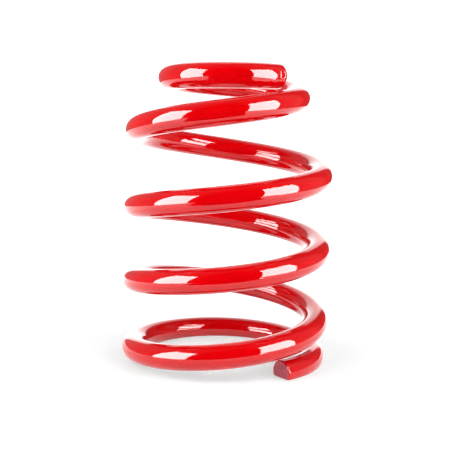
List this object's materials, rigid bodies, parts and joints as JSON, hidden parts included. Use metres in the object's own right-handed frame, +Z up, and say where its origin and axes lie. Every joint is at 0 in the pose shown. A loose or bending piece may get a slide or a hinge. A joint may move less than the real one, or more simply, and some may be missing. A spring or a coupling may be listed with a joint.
{
  "type": "coil spring",
  "caption": "Red painted car suspension coil spring, right-hand wound from one round steel bar, with a ground bottom coil, open active turns and a small top coil.",
  "frame": {"origin": "coil axis, in the plane of the ground-flat bottom seat", "axes": "+Z up along the coil axis; +Y away from the cut tip of the bottom coil, which lies on the -Y side; +X to the right seen from -Y"},
  "size_m": [0.1204, 0.1204, 0.1705],
  "materials": {
    "red_paint": "gloss"
  },
  "bodies": {
    "lower_seat_body": {"lower_end_coil": "red_paint"},
    "upper_end_body": {"upper_end_coil": "red_paint"},
    "active_turn_1_arc_01_body": {"active_turn_1_arc_01": "red_paint"},
    "active_turn_1_arc_02_body": {"active_turn_1_arc_02": "red_paint"},
    "active_turn_1_arc_03_body": {"active_turn_1_arc_03": "red_paint"},
    "active_turn_1_arc_04_body": {"active_turn_1_arc_04": "red_paint"},
    "active_turn_1_arc_05_body": {"active_turn_1_arc_05": "red_paint"},
    "active_turn_1_arc_06_body": {"active_turn_1_arc_06": "red_paint"},
    "active_turn_1_arc_07_body": {"active_turn_1_arc_07": "red_paint"},
    "active_turn_1_arc_08_body": {"active_turn_1_arc_08": "red_paint"},
    "active_turn_1_arc_09_body": {"active_turn_1_arc_09": "red_paint"},
    "active_turn_1_arc_10_body": {"active_turn_1_arc_10": "red_paint"},
    "active_turn_1_arc_11_body": {"active_turn_1_arc_11": "red_paint"},
    "active_turn_1_arc_12_body": {"active_turn_1_arc_12": "red_paint"},
    "active_turn_2_arc_01_body": {"active_turn_2_arc_01": "red_paint"},
    "active_turn_2_arc_02_body": {"active_turn_2_arc_02": "red_paint"},
    "active_turn_2_arc_03_body": {"active_turn_2_arc_03": "red_paint"},
    "active_turn_2_arc_04_body": {"active_turn_2_arc_04": "red_paint"},
    "active_turn_2_arc_05_body": {"active_turn_2_arc_05": "red_paint"},
    "active_turn_2_arc_06_body": {"active_turn_2_arc_06": "red_paint"},
    "active_turn_2_arc_07_body": {"active_turn_2_arc_07": "red_paint"},
    "active_turn_2_arc_08_body": {"active_turn_2_arc_08": "red_paint"},
    "active_turn_2_arc_09_body": {"active_turn_2_arc_09": "red_paint"},
    "active_turn_2_arc_10_body": {"active_turn_2_arc_10": "red_paint"},
    "active_turn_2_arc_11_body": {"active_turn_2_arc_11": "red_paint"},
    "active_turn_2_arc_12_body": {"active_turn_2_arc_12": "red_paint"},
    "active_turn_3_arc_01_body": {"active_turn_3_arc_01": "red_paint"},
    "active_turn_3_arc_02_body": {"active_turn_3_arc_02": "red_paint"},
    "active_turn_3_arc_03_body": {"active_turn_3_arc_03": "red_paint"},
    "active_turn_3_arc_04_body": {"active_turn_3_arc_04": "red_paint"},
    "active_turn_3_arc_05_body": {"active_turn_3_arc_05": "red_paint"},
    "active_turn_3_arc_06_body": {"active_turn_3_arc_06": "red_paint"},
    "active_turn_3_arc_07_body": {"active_turn_3_arc_07": "red_paint"},
    "active_turn_3_arc_08_body": {"active_turn_3_arc_08": "red_paint"},
    "active_turn_3_arc_09_body": {"active_turn_3_arc_09": "red_paint"},
    "active_turn_3_arc_10_body": {"active_turn_3_arc_10": "red_paint"},
    "active_turn_3_arc_11_body": {"active_turn_3_arc_11": "red_paint"},
    "active_turn_3_arc_12_body": {"active_turn_3_arc_12": "red_paint"}
  },
  "joints": [
    {"name": "compression", "type": "slide", "parent": "lower_seat_body", "child": "upper_end_body", "axis": [0, 0, -1], "range_m": [0, 0.07], "stiffness_N_per_m": 105000},
    {"name": "active_turn_1_arc_01_travel", "type": "slide", "parent": "lower_seat_body", "child": "active_turn_1_arc_01_body", "axis": [0, 0, -1], "range_m": [0, 0.000024]},
    {"name": "active_turn_1_arc_02_travel", "type": "slide", "parent": "lower_seat_body", "child": "active_turn_1_arc_02_body", "axis": [0, 0, -1], "range_m": [0, 0.000579]},
    {"name": "active_turn_1_arc_03_travel", "type": "slide", "parent": "lower_seat_body", "child": "active_turn_1_arc_03_body", "axis": [0, 0, -1], "range_m": [0, 0.00215]},
    {"name": "active_turn_1_arc_04_travel", "type": "slide", "parent": "lower_seat_body", "child": "active_turn_1_arc_04_body", "axis": [0, 0, -1], "range_m": [0, 0.00424]},
    {"name": "active_turn_1_arc_05_travel", "type": "slide", "parent": "lower_seat_body", "child": "active_turn_1_arc_05_body", "axis": [0, 0, -1], "range_m": [0, 0.00636]},
    {"name": "active_turn_1_arc_06_travel", "type": "slide", "parent": "lower_seat_body", "child": "active_turn_1_arc_06_body", "axis": [0, 0, -1], "range_m": [0, 0.00848]},
    {"name": "active_turn_1_arc_07_travel", "type": "slide", "parent": "lower_seat_body", "child": "active_turn_1_arc_07_body", "axis": [0, 0, -1], "range_m": [0, 0.01061]},
    {"name": "active_turn_1_arc_08_travel", "type": "slide", "parent": "lower_seat_body", "child": "active_turn_1_arc_08_body", "axis": [0, 0, -1], "range_m": [0, 0.01273]},
    {"name": "active_turn_1_arc_09_travel", "type": "slide", "parent": "lower_seat_body", "child": "active_turn_1_arc_09_body", "axis": [0, 0, -1], "range_m": [0, 0.01485]},
    {"name": "active_turn_1_arc_10_travel", "type": "slide", "parent": "lower_seat_body", "child": "active_turn_1_arc_10_body", "axis": [0, 0, -1], "range_m": [0, 0.01697]},
    {"name": "active_turn_1_arc_11_travel", "type": "slide", "parent": "lower_seat_body", "child": "active_turn_1_arc_11_body", "axis": [0, 0, -1], "range_m": [0, 0.01909]},
    {"name": "active_turn_1_arc_12_travel", "type": "slide", "parent": "lower_seat_body", "child": "active_turn_1_arc_12_body", "axis": [0, 0, -1], "range_m": [0, 0.02121]},
    {"name": "active_turn_2_arc_01_travel", "type": "slide", "parent": "lower_seat_body", "child": "active_turn_2_arc_01_body", "axis": [0, 0, -1], "range_m": [0, 0.02333]},
    {"name": "active_turn_2_arc_02_travel", "type": "slide", "parent": "lower_seat_body", "child": "active_turn_2_arc_02_body", "axis": [0, 0, -1], "range_m": [0, 0.02545]},
    {"name": "active_turn_2_arc_03_travel", "type": "slide", "parent": "lower_seat_body", "child": "active_turn_2_arc_03_body", "axis": [0, 0, -1], "range_m": [0, 0.02758]},
    {"name": "active_turn_2_arc_04_travel", "type": "slide", "parent": "lower_seat_body", "child": "active_turn_2_arc_04_body", "axis": [0, 0, -1], "range_m": [0, 0.0297]},
    {"name": "active_turn_2_arc_05_travel", "type": "slide", "parent": "lower_seat_body", "child": "active_turn_2_arc_05_body", "axis": [0, 0, -1], "range_m": [0, 0.03182]},
    {"name": "active_turn_2_arc_06_travel", "type": "slide", "parent": "lower_seat_body", "child": "active_turn_2_arc_06_body", "axis": [0, 0, -1], "range_m": [0, 0.03394]},
    {"name": "active_turn_2_arc_07_travel", "type": "slide", "parent": "lower_seat_body", "child": "active_turn_2_arc_07_body", "axis": [0, 0, -1], "range_m": [0, 0.03606]},
    {"name": "active_turn_2_arc_08_travel", "type": "slide", "parent": "lower_seat_body", "child": "active_turn_2_arc_08_body", "axis": [0, 0, -1], "range_m": [0, 0.03818]},
    {"name": "active_turn_2_arc_09_travel", "type": "slide", "parent": "lower_seat_body", "child": "active_turn_2_arc_09_body", "axis": [0, 0, -1], "range_m": [0, 0.0403]},
    {"name": "active_turn_2_arc_10_travel", "type": "slide", "parent": "lower_seat_body", "child": "active_turn_2_arc_10_body", "axis": [0, 0, -1], "range_m": [0, 0.04242]},
    {"name": "active_turn_2_arc_11_travel", "type": "slide", "parent": "lower_seat_body", "child": "active_turn_2_arc_11_body", "axis": [0, 0, -1], "range_m": [0, 0.04455]},
    {"name": "active_turn_2_arc_12_travel", "type": "slide", "parent": "lower_seat_body", "child": "active_turn_2_arc_12_body", "axis": [0, 0, -1], "range_m": [0, 0.04667]},
    {"name": "active_turn_3_arc_01_travel", "type": "slide", "parent": "lower_seat_body", "child": "active_turn_3_arc_01_body", "axis": [0, 0, -1], "range_m": [0, 0.04879]},
    {"name": "active_turn_3_arc_02_travel", "type": "slide", "parent": "lower_seat_body", "child": "active_turn_3_arc_02_body", "axis": [0, 0, -1], "range_m": [0, 0.05091]},
    {"name": "active_turn_3_arc_03_travel", "type": "slide", "parent": "lower_seat_body", "child": "active_turn_3_arc_03_body", "axis": [0, 0, -1], "range_m": [0, 0.05303]},
    {"name": "active_turn_3_arc_04_travel", "type": "slide", "parent": "lower_seat_body", "child": "active_turn_3_arc_04_body", "axis": [0, 0, -1], "range_m": [0, 0.05515]},
    {"name": "active_turn_3_arc_05_travel", "type": "slide", "parent": "lower_seat_body", "child": "active_turn_3_arc_05_body", "axis": [0, 0, -1], "range_m": [0, 0.05727]},
    {"name": "active_turn_3_arc_06_travel", "type": "slide", "parent": "lower_seat_body", "child": "active_turn_3_arc_06_body", "axis": [0, 0, -1], "range_m": [0, 0.05939]},
    {"name": "active_turn_3_arc_07_travel", "type": "slide", "parent": "lower_seat_body", "child": "active_turn_3_arc_07_body", "axis": [0, 0, -1], "range_m": [0, 0.06152]},
    {"name": "active_turn_3_arc_08_travel", "type": "slide", "parent": "lower_seat_body", "child": "active_turn_3_arc_08_body", "axis": [0, 0, -1], "range_m": [0, 0.06364]},
    {"name": "active_turn_3_arc_09_travel", "type": "slide", "parent": "lower_seat_body", "child": "active_turn_3_arc_09_body", "axis": [0, 0, -1], "range_m": [0, 0.06576]},
    {"name": "active_turn_3_arc_10_travel", "type": "slide", "parent": "lower_seat_body", "child": "active_turn_3_arc_10_body", "axis": [0, 0, -1], "range_m": [0, 0.06786]},
    {"name": "active_turn_3_arc_11_travel", "type": "slide", "parent": "lower_seat_body", "child": "active_turn_3_arc_11_body", "axis": [0, 0, -1], "range_m": [0, 0.06942]},
    {"name": "active_turn_3_arc_12_travel", "type": "slide", "parent": "lower_seat_body", "child": "active_turn_3_arc_12_body", "axis": [0, 0, -1], "range_m": [0, 0.06998]}
  ],
  "couplings": [
    {"joint": "active_turn_1_arc_01_travel", "follows": "compression", "ratio": 0.00034},
    {"joint": "active_turn_1_arc_02_travel", "follows": "compression", "ratio": 0.00826},
    {"joint": "active_turn_1_arc_03_travel", "follows": "compression", "ratio": 0.03064},
    {"joint": "active_turn_1_arc_04_travel", "follows": "compression", "ratio": 0.06061},
    {"joint": "active_turn_1_arc_05_travel", "follows": "compression", "ratio": 0.09091},
    {"joint": "active_turn_1_arc_06_travel", "follows": "compression", "ratio": 0.12121},
    {"joint": "active_turn_1_arc_07_travel", "follows": "compression", "ratio": 0.15152},
    {"joint": "active_turn_1_arc_08_travel", "follows": "compression", "ratio": 0.18182},
    {"joint": "active_turn_1_arc_09_travel", "follows": "compression", "ratio": 0.21212},
    {"joint": "active_turn_1_arc_10_travel", "follows": "compression", "ratio": 0.24242},
    {"joint": "active_turn_1_arc_11_travel", "follows": "compression", "ratio": 0.27273},
    {"joint": "active_turn_1_arc_12_travel", "follows": "compression", "ratio": 0.30303},
    {"joint": "active_turn_2_arc_01_travel", "follows": "compression", "ratio": 0.33333},
    {"joint": "active_turn_2_arc_02_travel", "follows": "compression", "ratio": 0.36364},
    {"joint": "active_turn_2_arc_03_travel", "follows": "compression", "ratio": 0.39394},
    {"joint": "active_turn_2_arc_04_travel", "follows": "compression", "ratio": 0.42424},
    {"joint": "active_turn_2_arc_05_travel", "follows": "compression", "ratio": 0.45455},
    {"joint": "active_turn_2_arc_06_travel", "follows": "compression", "ratio": 0.48485},
    {"joint": "active_turn_2_arc_07_travel", "follows": "compression", "ratio": 0.51515},
    {"joint": "active_turn_2_arc_08_travel", "follows": "compression", "ratio": 0.54545},
    {"joint": "active_turn_2_arc_09_travel", "follows": "compression", "ratio": 0.57576},
    {"joint": "active_turn_2_arc_10_travel", "follows": "compression", "ratio": 0.60606},
    {"joint": "active_turn_2_arc_11_travel", "follows": "compression", "ratio": 0.63636},
    {"joint": "active_turn_2_arc_12_travel", "follows": "compression", "ratio": 0.66667},
    {"joint": "active_turn_3_arc_01_travel", "follows": "compression", "ratio": 0.69697},
    {"joint": "active_turn_3_arc_02_travel", "follows": "compression", "ratio": 0.72727},
    {"joint": "active_turn_3_arc_03_travel", "follows": "compression", "ratio": 0.75758},
    {"joint": "active_turn_3_arc_04_travel", "follows": "compression", "ratio": 0.78788},
    {"joint": "active_turn_3_arc_05_travel", "follows": "compression", "ratio": 0.81818},
    {"joint": "active_turn_3_arc_06_travel", "follows": "compression", "ratio": 0.84848},
    {"joint": "active_turn_3_arc_07_travel", "follows": "compression", "ratio": 0.87879},
    {"joint": "active_turn_3_arc_08_travel", "follows": "compression", "ratio": 0.90909},
    {"joint": "active_turn_3_arc_09_travel", "follows": "compression", "ratio": 0.93939},
    {"joint": "active_turn_3_arc_10_travel", "follows": "compression", "ratio": 0.96936},
    {"joint": "active_turn_3_arc_11_travel", "follows": "compression", "ratio": 0.99174},
    {"joint": "active_turn_3_arc_12_travel", "follows": "compression", "ratio": 0.99966}
  ]
}
